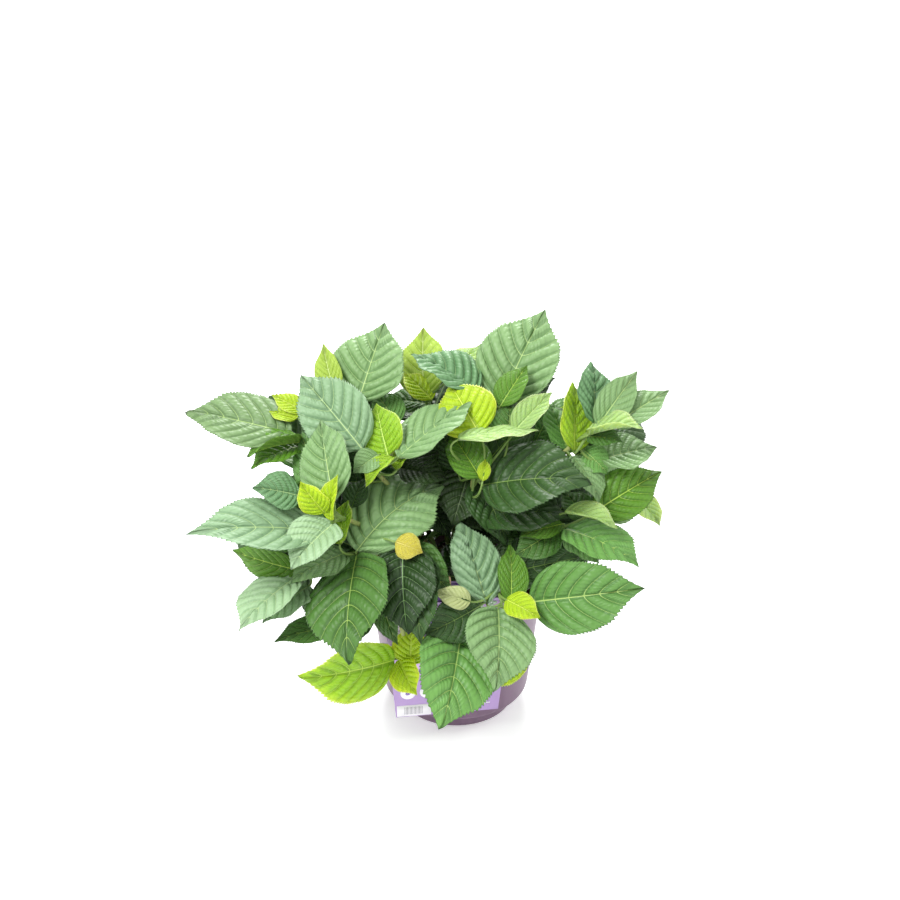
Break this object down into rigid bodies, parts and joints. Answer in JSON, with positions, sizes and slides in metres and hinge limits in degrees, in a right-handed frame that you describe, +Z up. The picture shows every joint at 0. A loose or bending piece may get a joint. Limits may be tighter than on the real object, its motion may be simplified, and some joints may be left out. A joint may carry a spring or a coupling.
{
  "type": "hydrangea shrub in a pot",
  "caption": "Leafy hydrangea shrub with broad toothed leaves on green canes, in a tapered nursery pot with a blank arched label card pegged to its rim.",
  "frame": {"origin": "middle of the pot's flat underside, on the floor it stands on", "axes": "+Z up along the pot's axis, the label card faces -Y, the crown is widest along X"},
  "size_m": [0.5273, 0.4645, 0.4104],
  "materials": {
    "pot_plastic": "satin",
    "compost": "matte",
    "card": "satin",
    "peg": "matte",
    "cane": "satin",
    "leaf": "satin"
  },
  "bodies": {
    "root": {"pot": "pot_plastic", "root_ball": "compost", "label_card": "card", "peg": "peg", "cane_front_right": "cane", "cane_front_left": "cane", "cane_low_left": "cane", "cane_left_front": "cane", "cane_far_left": "cane", "cane_lower_left": "cane", "cane_upper_left": "cane", "cane_back_left": "cane", "cane_centre": "cane", "cane_top_right": "cane", "cane_right": "cane", "cane_right_low": "cane", "cane_back": "cane", "cane_back_right": "cane", "cane_back_top": "cane", "cane_back_low": "cane", "cane_back_left_low": "cane", "cane_left_rear": "cane", "cane_right_rear": "cane", "foliage_front_right": "leaf", "foliage_front_left": "leaf", "foliage_low_left": "leaf", "foliage_left_front": "leaf", "foliage_far_left": "leaf", "foliage_lower_left": "leaf", "foliage_upper_left": "leaf", "foliage_back_left": "leaf", "foliage_centre": "leaf", "foliage_top_right": "leaf", "foliage_right": "leaf", "foliage_right_low": "leaf", "foliage_back": "leaf", "foliage_back_right": "leaf", "foliage_back_top": "leaf", "foliage_back_low": "leaf", "foliage_back_left_low": "leaf", "foliage_left_rear": "leaf", "foliage_right_rear": "leaf"}
  },
  "joints": []
}
